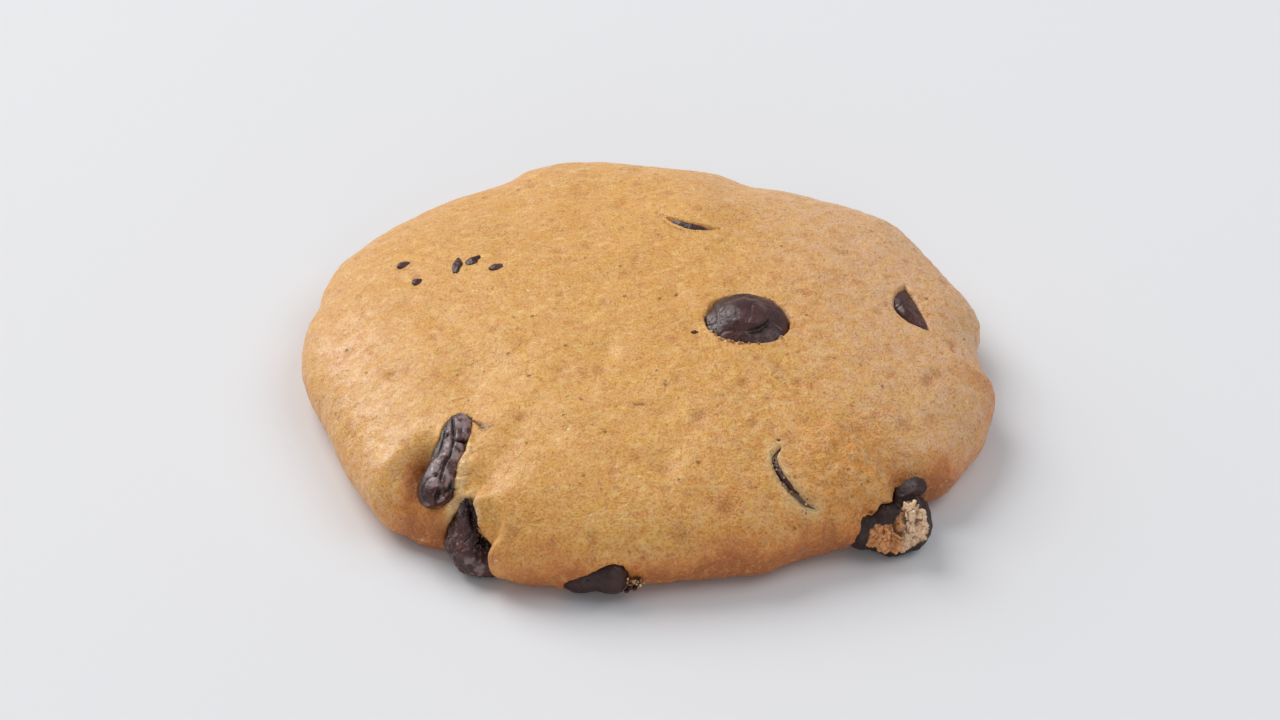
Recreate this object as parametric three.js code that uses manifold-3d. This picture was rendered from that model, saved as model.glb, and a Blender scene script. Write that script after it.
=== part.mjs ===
// A thick, soft chocolate chip cookie: a domed round of golden dough with dark chips baked into
// its top and its rim. Millimetres, +Z up. The origin is the middle of the flat base, and -Y is
// the front, where the dough folds round two chips on the left and one breaks out on the right.

import * as THREE from 'three';
import { ImprovedNoise } from 'three/addons/math/ImprovedNoise.js';
import { mergeVertices } from 'three/addons/utils/BufferGeometryUtils.js';
import Module from 'manifold-3d';

// The round of dough
const HALF_WIDTH = 43.9;
const HALF_DEPTH = 39.9;
const HEIGHT = 15.5;
const GIRTH_HEIGHT = 4.6;
const UNDERCUT = 4.2;
const DOME_FULLNESS = 0.61;
const UNDERCUT_FULLNESS = 0.6;
const LOBES_FROM = 0.35;
const LOBES_FULL = 0.75;
const RINGS = 28;
const UNDER_ROWS = 4;

// Where the outline stands out from the oval, or dips in: direction and spread in degrees, size in mm
const LOBES = [
  { at: 2, spread: 7, out: -1.2 },
  { at: 10, spread: 5, out: 0.8 },
  { at: 39, spread: 9, out: 1.5 },
  { at: 66, spread: 6, out: -1.9 },
  { at: 106, spread: 13, out: 3.3 },
  { at: 112, spread: 3, out: 0.4 },
  { at: 129, spread: 6, out: 0.7 },
  { at: 146, spread: 19, out: 1.4 },
  { at: 156, spread: 4, out: 0.4 },
  { at: 167, spread: 3, out: -0.5 },
  { at: 198, spread: 12, out: -1.9 },
  { at: 238, spread: 5.5, out: -4.6 },
  { at: 242, spread: 18, out: 3.1 },
  { at: 291, spread: 4, out: 0.6 },
  { at: 321, spread: 5, out: -2.4 },
  { at: 334, spread: 15, out: 2.4 },
  { at: 334, spread: 5, out: -0.8 },
  { at: 351, spread: 3, out: 0.5 },
];

// Broad swells and hollows of the top: plan position, radius and height, all in mm
const SWELLS = [
  { x: -32, y: -13, radius: 8, height: 0.6 },
  { x: -27.0, y: -27.4, radius: 2.6, height: -2.5 },
  { x: -27.8, y: -31.6, radius: 2.8, height: -1.3 },
  { x: -31.6, y: -25.6, radius: 3.0, height: 0.7 },
  { x: -24.0, y: -35.0, radius: 3.6, height: -1.6 },
  { x: -15.5, y: -30.5, radius: 5.0, height: 0.6 },
  { x: -21.5, y: -15.5, radius: 4.5, height: -0.5 },
  { x: 4, y: 30, radius: 10, height: 0.7 },
  { x: -20, y: 27, radius: 8, height: -0.6 },
  { x: 38.6, y: 3.4, radius: 4.4, height: 0.6 },
  { x: 23.4, y: -26.2, radius: 4.8, height: 0.9 },
  { x: 24.6, y: -31.5, radius: 3.2, height: 0.9 },
  { x: 7.4, y: 20.8, radius: 4.2, height: 0.9 },
  { x: 0, y: -12, radius: 13, height: -0.4 },
  { x: -18.4, y: -34.0, radius: 2.4, height: 1.1 },
  { x: 28.5, y: -28.5, radius: 2.4, height: 0.9 },
  { x: 13.1, y: -10.6, radius: 2.6, height: 0.4 },
];

// The surface's own unevenness, as [wavelength, height] in mm, and shallow dents
const UNDULATIONS = [[11, 0.34], [4.6, 0.2]];
const DENTS = 46;
const DENT_RADIUS = [1.3, 2.3];
const DENT_DEPTH = [0.2, 0.42];

// The chips, and the room that each keeps in its socket
const SOCKET_GAP = 0.36;
const CHIP_SIDES = 18;
const BAR_SHANK = 2.6;
const FLOOR_CLEARANCE = 0.02;

// How deep the chocolate flecks sit and how far they rise out of the surface
const FLECK_DEPTH = 0.9;
const FLECK_RISE = 0.4;

const DOUGH_LOOK = { color: 0xd9a767, roughness: 0.62, metalness: 0 };
const CHIP_LOOK = { color: 0x3c2622, roughness: 0.38, metalness: 0 };

const wasm = await Module();
wasm.setup();
const noise = new ImprovedNoise();
const radians = THREE.MathUtils.degToRad;

// Half the section of the round, from the crown down to the widest ring
function domeCurve() {
  const side = HALF_WIDTH;
  const rise = HEIGHT - GIRTH_HEIGHT;
  return new THREE.CubicBezierCurve(
    new THREE.Vector2(0, HEIGHT),
    new THREE.Vector2(side * DOME_FULLNESS, HEIGHT),
    new THREE.Vector2(side, GIRTH_HEIGHT + rise * DOME_FULLNESS),
    new THREE.Vector2(side, GIRTH_HEIGHT),
  );
}

// The tucked-in edge, from the widest ring down to the flat base
function underCurve() {
  return new THREE.CubicBezierCurve(
    new THREE.Vector2(0, GIRTH_HEIGHT),
    new THREE.Vector2(0, GIRTH_HEIGHT * (1 - UNDERCUT_FULLNESS)),
    new THREE.Vector2(-UNDERCUT * (1 - UNDERCUT_FULLNESS), 0),
    new THREE.Vector2(-UNDERCUT, 0),
  );
}

// The plan's radius in one direction. The lobes belong to the rim and fade out towards the crown:
// way runs from 0 at the crown to 1 at the rim.
function planRadius(angle, way = 1) {
  const lobed = THREE.MathUtils.smoothstep(way, LOBES_FROM, LOBES_FULL);
  const oval = HALF_WIDTH * HALF_DEPTH
    / Math.hypot(HALF_DEPTH * Math.cos(angle), HALF_WIDTH * Math.sin(angle));
  return LOBES.reduce((radius, { at, spread, out }) => {
    const away = THREE.MathUtils.euclideanModulo(THREE.MathUtils.radToDeg(angle) - at + 180, 360) - 180;
    return radius + lobed * out * Math.exp(-((away / spread) ** 2));
  }, oval);
}

// Dents spread evenly over the top by the golden angle, their sizes drawn by a seeded generator
function scatterDents() {
  const goldenAngle = Math.PI * (3 - Math.sqrt(5));
  return Array.from({ length: DENTS }, (_, i) => {
    const out = Math.sqrt((i + 0.5) / DENTS) * HALF_DEPTH * 0.93;
    const turn = i * goldenAngle + THREE.MathUtils.seededRandom(100 + i);
    const draw = THREE.MathUtils.seededRandom(500 + i);
    return {
      x: out * Math.cos(turn),
      y: out * Math.sin(turn),
      radius: THREE.MathUtils.lerp(...DENT_RADIUS, draw),
      height: -THREE.MathUtils.lerp(...DENT_DEPTH, THREE.MathUtils.seededRandom(900 + i)),
    };
  });
}

// How far the top stands above or below the plain dome at a plan position
function relief(x, y, features) {
  let sum = 0;
  for (const { x: fx, y: fy, radius, height } of features) {
    const away = ((x - fx) ** 2 + (y - fy) ** 2) / radius ** 2;
    if (away < 9) sum += height * Math.exp(-away);
  }
  for (const [wave, size] of UNDULATIONS) sum += size * noise.noise(x / wave, y / wave, wave);
  return sum;
}

// Even triangles over the dome: ring k holds 6k points. Rows of the last ring's count then close
// the undercut and the flat base.
function doughGeometry() {
  const positions = [0, 0, HEIGHT];
  const index = [];
  const ringStart = (k) => (k === 0 ? 0 : 1 + 3 * k * (k - 1));
  const dome = domeCurve().getSpacedPoints(RINGS);
  for (let k = 1; k <= RINGS; k++) {
    for (let i = 0; i < 6 * k; i++) {
      const angle = (i / (6 * k)) * 2 * Math.PI;
      const out = dome[k].x * planRadius(angle, k / RINGS) / HALF_WIDTH;
      positions.push(out * Math.cos(angle), out * Math.sin(angle), dome[k].y);
      const side = Math.floor(i / k);
      const inner = (j) => ringStart(k - 1) + (k === 1 ? 0 : (side * (k - 1) + j) % (6 * (k - 1)));
      const outer = (j) => ringStart(k) + (side * k + j) % (6 * k);
      const j = i % k;
      index.push(inner(j), outer(j), outer(j + 1));
      if (j < k - 1) index.push(inner(j), outer(j + 1), inner(j + 1));
    }
  }
  const count = 6 * RINGS;
  const under = underCurve().getSpacedPoints(UNDER_ROWS);
  for (let row = 1; row <= UNDER_ROWS; row++) {
    const above = ringStart(RINGS) + (row - 1) * count;
    for (let i = 0; i < count; i++) {
      const angle = (i / count) * 2 * Math.PI;
      const out = planRadius(angle) + under[row].x;
      positions.push(out * Math.cos(angle), out * Math.sin(angle), under[row].y);
      const next = (i + 1) % count;
      index.push(above + i, above + count + i, above + count + next);
      index.push(above + i, above + count + next, above + next);
    }
  }
  const lastRow = ringStart(RINGS) + UNDER_ROWS * count;
  const middle = positions.push(0, 0, 0) / 3 - 1;
  for (let i = 0; i < count; i++) index.push(lastRow + i, middle, lastRow + (i + 1) % count);
  const geometry = new THREE.BufferGeometry()
    .setAttribute('position', new THREE.Float32BufferAttribute(positions, 3))
    .setIndex(index);
  return raiseRelief(geometry);
}

// Moves the dome's points along their normals by the relief, fading out below the widest ring
function raiseRelief(geometry) {
  geometry.computeVertexNormals();
  const { position, normal } = geometry.attributes;
  const features = [...SWELLS, ...scatterDents()];
  const point = new THREE.Vector3();
  const outward = new THREE.Vector3();
  for (let i = 0; i < position.count; i++) {
    point.fromBufferAttribute(position, i);
    outward.fromBufferAttribute(normal, i);
    const share = THREE.MathUtils.smoothstep(point.z, 0.5, GIRTH_HEIGHT);
    point.addScaledVector(outward, share * relief(point.x, point.y, features));
    position.setXYZ(i, point.x, point.y, point.z);
  }
  return geometry;
}

// A chocolate drop, standing on its flat face: a brim, a waist and a soft tip that may sway
function dropGeometry({ radius, height, brim = 0.32, waist = 0.55, tip = 0.2, sway = [0, 0] }) {
  const outline = new THREE.SplineCurve([
    new THREE.Vector2(radius * 0.86, 0),
    new THREE.Vector2(radius, height * brim * 0.45),
    new THREE.Vector2(radius * 0.93, height * brim),
    new THREE.Vector2(radius * waist, height * (0.35 + 0.65 * brim)),
    new THREE.Vector2(radius * tip * 1.25, height * 0.95),
  ]).getSpacedPoints(8);
  const profile = [new THREE.Vector2(0, 0), ...outline, new THREE.Vector2(0, height)];
  const geometry = new THREE.LatheGeometry(profile, CHIP_SIDES).rotateX(Math.PI / 2);
  const position = geometry.attributes.position;
  for (let i = 0; i < position.count; i++) {
    const share = (Math.max(0, position.getZ(i)) / height) ** 1.5;
    position.setX(i, position.getX(i) + sway[0] * share);
    position.setY(i, position.getY(i) + sway[1] * share);
  }
  return geometry;
}

// A chip that lay on its side and was pressed long: a rounded bar with one thick end, bent sideways
function barGeometry({ length, thick, thin, bend }) {
  const geometry = new THREE.CapsuleGeometry(1, BAR_SHANK, 4, CHIP_SIDES - 2, 5);
  const position = geometry.attributes.position;
  for (let i = 0; i < position.count; i++) {
    const along = position.getY(i) / (1 + BAR_SHANK / 2);
    const girth = THREE.MathUtils.lerp(thick, thin, (along + 1) / 2);
    const sideways = bend * (along * along - 0.3);
    position.setXYZ(i, position.getX(i) * girth + sideways, along * length / 2, position.getZ(i) * girth);
  }
  return geometry;
}

// Merges a geometry's shared corners, so that it is one closed surface
function weld(geometry) {
  const bare = geometry.clone();
  bare.deleteAttribute('uv');
  bare.deleteAttribute('normal');
  return mergeVertices(bare, 1e-3);
}

// Roughens a chip by smooth noise, then swells it by grow, along its normals
function shapeChip(geometry, { seed, lumps = 0.3 }, grow) {
  const welded = weld(geometry);
  for (const amount of [(p) => lumps * noise.noise(p.x / 2.6 + seed, p.y / 2.6, p.z / 2.6), () => grow]) {
    welded.computeVertexNormals();
    const { position, normal } = welded.attributes;
    const point = new THREE.Vector3();
    const outward = new THREE.Vector3();
    for (let i = 0; i < position.count; i++) {
      point.fromBufferAttribute(position, i);
      outward.fromBufferAttribute(normal, i);
      point.addScaledVector(outward, amount(point));
      position.setXYZ(i, point.x, point.y, point.z);
    }
  }
  return welded;
}

function solidOf(geometry) {
  const welded = weld(geometry);
  return new wasm.Manifold(new wasm.Mesh({
    numProp: 3,
    vertProperties: welded.attributes.position.array,
    triVerts: new Uint32Array(welded.index.array),
  }));
}

function geometryOf(solid) {
  const { vertProperties, triVerts } = solid.getMesh();
  const geometry = new THREE.BufferGeometry()
    .setAttribute('position', new THREE.Float32BufferAttribute(vertProperties, 3))
    .setIndex(Array.from(triVerts));
  geometry.computeVertexNormals();
  return geometry;
}

// Each chip: its shape, where its middle or its flat face's middle is, which way its tip leans
// (lean from straight up, toward a plan direction, in degrees) and its turn about its own axis
const CHIPS = [
  {
    name: 'chip_middle',
    drop: { radius: 5.5, height: 5.4, brim: 0.6, waist: 0.66, tip: 0.32, sway: [-0.5, -0.3] },
    at: [13.1, -3.9, 11.7], lean: 7, toward: -78, seed: 1, lumps: 0.15,
  },
  {
    name: 'chip_back',
    drop: { radius: 5.3, height: 5 },
    at: [7.7, 20.6, 13.7], lean: 163, toward: 241, seed: 2, lumps: 0.1,
  },
  {
    name: 'chip_right',
    drop: { radius: 5.1, height: 6 },
    at: [36.6, 3.6, 10.2], lean: 147, toward: 194, seed: 3, lumps: 0.15,
  },
  {
    name: 'chip_slit',
    drop: { radius: 5.7, height: 5 },
    at: [21.1, -27.2, 10.0], lean: 157, toward: 163, seed: 4, lumps: 0.1,
  },
  {
    name: 'chip_left',
    bar: { length: 13.2, thick: 2.5, thin: 2.1, bend: -0.5 },
    at: [-23.75, -26.3, 9.9], lean: -21, toward: 90, turn: -18, seed: 5, lumps: 0.5,
  },
  {
    name: 'chip_left_rim',
    drop: { radius: 4.7, height: 9.5, brim: 0.38, waist: 0.54, tip: 0.1, sway: [-2.5, 0.2] },
    at: [-19.0, -32.9, 0.5], lean: 0, toward: 0, seed: 6, lumps: 0.5,
  },
  {
    name: 'chip_front_rim',
    bar: { length: 8.6, thick: 2.9, thin: 1.4, bend: 0 },
    at: [-6.0, -39.1, 2.7], lean: 14, toward: 180, turn: 90, seed: 7, lumps: 0.4,
  },
  {
    name: 'chip_right_rim',
    drop: { radius: 4.7, height: 7.7, brim: 0.42, waist: 0.46, tip: 0.26, sway: [3.3, 0.8] },
    at: [30.0, -28.9, 0.4], lean: 0, toward: 0, seed: 8, lumps: 0.7,
    clods: [
      { at: [29.4, -30.9, 4.2], size: [2.6, 2.3, 2.6] },
      { at: [26.3, -31.9, 3.6], size: [2.4, 1.7, 2.8] },
      { at: [29.5, -32.9, 3.4], size: [2.1, 1.3, 1.7] },
      { at: [32.6, -31.6, 5.0], size: [1.7, 1.6, 2.8] },
      { at: [31.3, -32.3, 2.6], size: [1.7, 1.2, 1.2] },
    ],
  },
  {
    name: 'chip_back_rim_left',
    drop: { radius: 4.6, height: 5.4, brim: 0.5, waist: 0.7, sway: [-0.6, 0.8] },
    at: [-30.6, 25.2, 0.4], lean: 0, toward: 0, seed: 9, lumps: 0.5,
  },
  {
    name: 'chip_back_rim_right',
    drop: { radius: 4.4, height: 5.2, brim: 0.4, waist: 0.66, sway: [0.6, 0.8] },
    at: [19.6, 32.8, 0.4], lean: 0, toward: 0, seed: 10, lumps: 0.5,
  },
];

// Small flecks of chocolate that just break the surface at the back left: plan position, length,
// width and direction
const FLECKS = [
  { x: -30.9, y: 10.9, length: 2.1, width: 1.1, turn: 48 },
  { x: -28.9, y: 6.4, length: 1.7, width: 1.2, turn: 40 },
  { x: -23.8, y: 8.8, length: 3.0, width: 1.1, turn: 82 },
  { x: -21.9, y: 9.6, length: 2.6, width: 1.1, turn: 57 },
  { x: -18.7, y: 7.5, length: 2.1, width: 1.1, turn: 25 },
];

function chipSolid(chip, grow) {
  const geometry = chip.drop ? dropGeometry(chip.drop) : barGeometry(chip.bar);
  const shaped = shapeChip(geometry, chip, grow);
  shaped.rotateZ(radians(chip.turn ?? 0));
  const heading = radians(chip.toward);
  const hinge = new THREE.Vector3(-Math.sin(heading), Math.cos(heading), 0);
  shaped.applyMatrix4(new THREE.Matrix4().makeRotationAxis(hinge, radians(chip.lean)));
  shaped.translate(...chip.at);
  let solid = solidOf(shaped);
  for (const clod of chip.clods ?? []) solid = solid.add(clodSolid(clod, chip.seed, grow));
  return solid;
}

// A lump of melted chocolate or baked crumb, one with its chip: a rough ball, its half sizes along
// X, Y and Z
function clodSolid({ at, size }, seed, grow) {
  const ball = new THREE.IcosahedronGeometry(1, 1).scale(...size);
  return solidOf(shapeChip(ball, { seed: seed + at[0], lumps: 0.5 }, grow).translate(...at));
}

function floorCutter() {
  const box = new THREE.BoxGeometry(3 * HALF_WIDTH, 3 * HALF_DEPTH, HEIGHT);
  return solidOf(box.translate(0, 0, -HEIGHT / 2 + FLOOR_CLEARANCE));
}

function fleckSolid({ x, y, length, width, turn }, topOfDough) {
  const geometry = new THREE.IcosahedronGeometry(1, 0)
    .scale(length / 2, width / 2, FLECK_DEPTH)
    .rotateZ(radians(turn));
  return solidOf(geometry.translate(x, y, topOfDough(x, y) - FLECK_DEPTH + FLECK_RISE));
}

// The height of a surface above a plan position
function heightFinder(geometry) {
  const mesh = new THREE.Mesh(geometry, new THREE.MeshBasicMaterial({ side: THREE.DoubleSide }));
  const down = new THREE.Vector3(0, 0, -1);
  return (x, y) => {
    const ray = new THREE.Raycaster(new THREE.Vector3(x, y, 2 * HEIGHT), down);
    return ray.intersectObject(mesh)[0].point.z;
  };
}

function doughSolid() {
  const plain = doughGeometry();
  const topOfDough = heightFinder(plain);
  let dough = solidOf(plain);
  for (const chip of CHIPS) dough = dough.subtract(chipSolid(chip, SOCKET_GAP));
  for (const fleck of FLECKS) dough = dough.add(fleckSolid(fleck, topOfDough));
  return dough;
}

function meshOf(name, solid, look) {
  const mesh = new THREE.Mesh(geometryOf(solid), new THREE.MeshStandardMaterial(look));
  mesh.name = name;
  return mesh;
}

const cookie = new THREE.Group();
cookie.name = 'cookie';
cookie.add(meshOf('dough', doughSolid(), DOUGH_LOOK));
for (const chip of CHIPS) {
  const standing = chipSolid(chip, 0).subtract(floorCutter());
  cookie.add(meshOf(chip.name, standing, CHIP_LOOK));
}

export default cookie;
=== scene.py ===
# A thick, soft chocolate chip cookie: finely pored golden dough with dark chips baked into it.
# Sizes below are in millimetres in the part's own frame; meshes are made in metres.

import math

import bmesh
import bpy
import numpy as np
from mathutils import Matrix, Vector
from mathutils.bvhtree import BVHTree


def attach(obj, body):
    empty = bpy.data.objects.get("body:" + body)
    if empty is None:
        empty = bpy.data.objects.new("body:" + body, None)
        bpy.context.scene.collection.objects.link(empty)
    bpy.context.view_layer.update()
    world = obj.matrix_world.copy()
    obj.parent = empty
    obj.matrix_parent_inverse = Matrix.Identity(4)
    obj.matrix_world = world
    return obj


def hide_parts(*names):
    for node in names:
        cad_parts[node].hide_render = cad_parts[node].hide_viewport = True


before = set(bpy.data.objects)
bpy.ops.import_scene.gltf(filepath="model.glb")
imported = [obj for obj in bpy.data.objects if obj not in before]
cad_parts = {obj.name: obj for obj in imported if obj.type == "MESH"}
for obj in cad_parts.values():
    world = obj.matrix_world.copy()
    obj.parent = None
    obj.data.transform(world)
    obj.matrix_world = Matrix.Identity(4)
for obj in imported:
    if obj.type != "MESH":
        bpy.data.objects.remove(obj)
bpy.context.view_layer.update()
MM = 0.001

# The round of dough, as in the solid
HALF_WIDTH, HALF_DEPTH, HEIGHT = 43.9, 39.9, 15.5
GIRTH_HEIGHT, UNDERCUT = 4.6, 4.2
DOME_FULLNESS, UNDERCUT_FULLNESS = 0.61, 0.6
LOBES_FROM, LOBES_FULL = 0.35, 0.75
# Where the outline stands out or dips in: direction and spread in degrees, and size
LOBES = [
    (2, 7, -1.2), (10, 5, 0.8), (39, 9, 1.5), (66, 6, -1.9), (106, 13, 3.3), (112, 3, 0.4),
    (129, 6, 0.7), (146, 19, 1.4), (156, 4, 0.4), (167, 3, -0.5), (198, 12, -1.9), (238, 5.5, -4.6),
    (242, 18, 3.1), (291, 4, 0.6), (321, 5, -2.4), (334, 15, 2.4), (334, 5, -0.8), (351, 3, 0.5),
]
# Broad swells and hollows of the top: plan position, radius and height
SWELLS = [
    (-32, -13, 8, 0.6), (-27.0, -27.4, 2.6, -2.5), (-27.8, -31.6, 2.8, -1.3), (-31.6, -25.6, 3.0, 0.7),
    (-24.0, -35.0, 3.6, -1.6), (-15.5, -30.5, 5.0, 0.6),
    (-21.5, -15.5, 4.5, -0.5), (4, 30, 10, 0.7), (-20, 27, 8, -0.6), (38.6, 3.4, 4.4, 0.6),
    (23.4, -26.2, 4.8, 0.9), (24.6, -31.5, 3.2, 0.9), (7.4, 20.8, 4.2, 0.9), (0, -12, 13, -0.4),
    (-18.4, -34.0, 2.4, 1.1), (28.5, -28.5, 2.4, 0.9), (13.1, -10.6, 2.6, 0.4),
]
DENTS, DENT_RADIUS, DENT_DEPTH = 46, (1.3, 2.3), (0.2, 0.42)

# Rings of the dough's mesh over the dome, under its edge and on its base
RINGS = 124
UNDER_ROWS = 8
BASE_ROWS = 6
# All of the dough above this height belongs to its top
TOP_FROM = 5.0


def smoothstep(x, low, high):
    t = np.clip((x - low) / (high - low), 0, 1)
    return t * t * (3 - 2 * t)


def gradient_noise(points, wave, seed=0):
    """Smooth noise of about -1 to 1 at each point, its bumps about wave across."""
    rng = np.random.default_rng(seed)
    table = np.concatenate([rng.permutation(256)] * 2)
    slopes = rng.normal(size=(256, 3))
    slopes /= np.linalg.norm(slopes, axis=1)[:, None]
    p = np.asarray(points, float) / wave + 37.3
    cell = np.floor(p).astype(int)
    f = p - cell
    ease = f * f * f * (f * (f * 6 - 15) + 10)
    total = np.zeros(len(p))
    for corner in np.ndindex(2, 2, 2):
        c = np.array(corner)
        k = (cell + c) & 255
        slope = slopes[table[table[table[k[:, 0]] + k[:, 1]] + k[:, 2]]]
        weight = np.prod(np.where(c, ease, 1 - ease), axis=1)
        total += weight * np.einsum("ij,ij->i", slope, f - c)
    return 1.5 * total


def layered_noise(points, wave, octaves, seed=0, fade=0.5):
    return sum(fade**k * gradient_noise(points, wave / 2**k, seed + k) for k in range(octaves))


def seeded_random(seed):
    """A number of 0 to 1 for each seed, the one that also draws the solid's dents."""
    def multiply(a, b):
        return (a * b) & 0xFFFFFFFF

    s = (seed + 0x6D2B79F5) & 0xFFFFFFFF
    t = multiply(s ^ (s >> 15), s | 1)
    t ^= (t + multiply(t ^ (t >> 7), t | 61)) & 0xFFFFFFFF
    return ((t ^ (t >> 14)) & 0xFFFFFFFF) / 4294967296


def arc_spaced(corners, count=2001):
    """Points of a cubic Bezier evenly spaced along its length, and that length."""
    t = np.linspace(0, 1, count)[:, None]
    a, b, c, d = (np.array(q, float) for q in corners)
    p = (1 - t) ** 3 * a + 3 * t * (1 - t) ** 2 * b + 3 * t * t * (1 - t) * c + t**3 * d
    length = np.concatenate([[0], np.cumsum(np.linalg.norm(np.diff(p, axis=0), axis=1))])
    even = np.linspace(0, length[-1], count)
    return np.stack([np.interp(even, length, p[:, k]) for k in (0, 1)], 1), length[-1]


RISE = HEIGHT - GIRTH_HEIGHT
DOME, DOME_LENGTH = arc_spaced([
    (0, HEIGHT), (HALF_WIDTH * DOME_FULLNESS, HEIGHT),
    (HALF_WIDTH, GIRTH_HEIGHT + RISE * DOME_FULLNESS), (HALF_WIDTH, GIRTH_HEIGHT),
])
UNDER, UNDER_LENGTH = arc_spaced([
    (0, GIRTH_HEIGHT), (0, GIRTH_HEIGHT * (1 - UNDERCUT_FULLNESS)),
    (-UNDERCUT * (1 - UNDERCUT_FULLNESS), 0), (-UNDERCUT, 0),
])
# How much of the map the base takes, from its edge to its middle
BASE_LENGTH = 38.0


def plan_radius(angle, way):
    """The plan's radius in a direction. The lobes fade out from the rim, way 1, to the crown, 0."""
    radius = HALF_WIDTH * HALF_DEPTH / np.hypot(HALF_DEPTH * np.cos(angle), HALF_WIDTH * np.sin(angle))
    lobed = smoothstep(way, LOBES_FROM, LOBES_FULL)
    for at, spread, out in LOBES:
        away = (np.degrees(angle) - at + 180) % 360 - 180
        radius = radius + lobed * out * np.exp(-((away / spread) ** 2))
    return radius


def plain_dough(uv):
    """Points of the smooth round. uv is a flat map of it: the way from the crown, in its direction."""
    angle = np.arctan2(uv[:, 1], uv[:, 0])
    way = np.hypot(uv[:, 0], uv[:, 1])
    along = np.linspace(0, 1, len(DOME))
    on_dome = np.clip(way / DOME_LENGTH, 0, 1)
    radius = plan_radius(angle, on_dome)
    on_under = np.clip((way - DOME_LENGTH) / UNDER_LENGTH, 0, 1)
    on_base = np.clip((way - DOME_LENGTH - UNDER_LENGTH) / BASE_LENGTH, 0, 1)
    out = np.interp(on_dome, along, DOME[:, 0]) / HALF_WIDTH * radius
    out = (out + np.interp(on_under, along, UNDER[:, 0])) * (1 - on_base)
    dome_z, under_z = np.interp(on_dome, along, DOME[:, 1]), np.interp(on_under, along, UNDER[:, 1])
    z = np.where(way < DOME_LENGTH, dome_z, under_z)
    return np.stack([out * np.cos(angle), out * np.sin(angle), z], 1)


def plain_normals(uv):
    step = 0.05
    across = plain_dough(uv + [step, 0]) - plain_dough(uv - [step, 0])
    along = plain_dough(uv + [0, step]) - plain_dough(uv - [0, step])
    n = np.cross(across, along)
    return n / np.maximum(np.linalg.norm(n, axis=1), 1e-9)[:, None]


def scatter_dents():
    golden = math.pi * (3 - math.sqrt(5))
    dents = []
    for i in range(DENTS):
        out = math.sqrt((i + 0.5) / DENTS) * HALF_DEPTH * 0.93
        turn = i * golden + seeded_random(100 + i)
        radius = DENT_RADIUS[0] + (DENT_RADIUS[1] - DENT_RADIUS[0]) * seeded_random(500 + i)
        depth = DENT_DEPTH[0] + (DENT_DEPTH[1] - DENT_DEPTH[0]) * seeded_random(900 + i)
        dents.append((out * math.cos(turn), out * math.sin(turn), radius, -depth))
    return dents


def bumps(points, features, power=2):
    """Smooth rises and hollows: each feature is a plan position, a radius and a height."""
    total = np.zeros(len(points))
    for x, y, radius, height in features:
        away = np.hypot(points[:, 0] - x, points[:, 1] - y) / radius
        near = away < 3
        total[near] += height * np.exp(-(away[near] ** power))
    return total


def shaped_dough(uv):
    """The round with its swells, dents and soft unevenness, and the normals of the plain round."""
    points, normals = plain_dough(uv), plain_normals(uv)
    relief = bumps(points, SWELLS) + bumps(points, scatter_dents())
    relief += 0.24 * gradient_noise(points, 11, 3) + 0.15 * gradient_noise(points, 4.6, 4)
    share = smoothstep(points[:, 2], 0.5, GIRTH_HEIGHT)
    return points + normals * (share * relief)[:, None], normals


def path_distance(points, path):
    """Each point's distance from a line of points, and how far along the line it is nearest."""
    path = np.array(path, float)
    steps = np.linalg.norm(np.diff(path, axis=0), axis=1)
    nearest, share, passed = np.full(len(points), 1e9), np.zeros(len(points)), 0.0
    for a, b, step in zip(path[:-1], path[1:], steps):
        t = np.clip(((points - a) @ (b - a)) / step**2, 0, 1)
        away = np.linalg.norm(points - a - t[:, None] * (b - a), axis=1)
        share = np.where(away < nearest, (passed + t * step) / steps.sum(), share)
        nearest = np.minimum(nearest, away)
        passed += step
    return nearest, share


def crack(points, path, width, depth):
    """How deep a tapering crack along a line of points cuts at each point."""
    away, share = path_distance(points, path)
    taper = np.sqrt(np.clip(4 * share * (1 - share), 0.05, 1))
    return depth * taper * np.exp(-((away / (width * taper)) ** 2))


def mesh_object(name, vertices, faces):
    mesh = bpy.data.meshes.new(name)
    mesh.from_pydata(np.asarray(vertices, float).tolist(), [], [list(map(int, f)) for f in faces])
    mesh.polygons.foreach_set("use_smooth", [True] * len(mesh.polygons))
    piece = bpy.data.objects.new(name, mesh)
    bpy.context.scene.collection.objects.link(piece)
    return piece


def vertex_array(mesh, what="co"):
    source = mesh.vertices if what == "co" else mesh.vertex_normals
    key = "co" if what == "co" else "vector"
    values = np.zeros(len(mesh.vertices) * 3)
    source.foreach_get(key, values)
    return values.reshape(-1, 3)


def add_attribute(mesh, name, values):
    layer = mesh.attributes.new(name, "FLOAT", "POINT")
    layer.data.foreach_set("value", np.asarray(values, np.float32))


# The chips

def remeshed_chip(node, voxel, smoothing):
    """A fine, smooth copy of a chip's solid: points in millimetres, normals and faces."""
    draft = bpy.data.objects.new("draft_" + node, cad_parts[node].data.copy())
    bpy.context.scene.collection.objects.link(draft)
    remesh = draft.modifiers.new("remesh", "REMESH")
    remesh.mode = "VOXEL"
    remesh.voxel_size = voxel * MM
    smooth = draft.modifiers.new("smooth", "SMOOTH")
    smooth.factor = 0.5
    smooth.iterations = smoothing
    evaluated = draft.evaluated_get(bpy.context.evaluated_depsgraph_get())
    mesh = bpy.data.meshes.new_from_object(evaluated)
    points, normals = vertex_array(mesh) / MM, vertex_array(mesh, "normal")
    faces = [tuple(p.vertices) for p in mesh.polygons]
    bpy.data.objects.remove(draft)
    bpy.data.meshes.remove(mesh)
    return points, normals, faces


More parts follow.
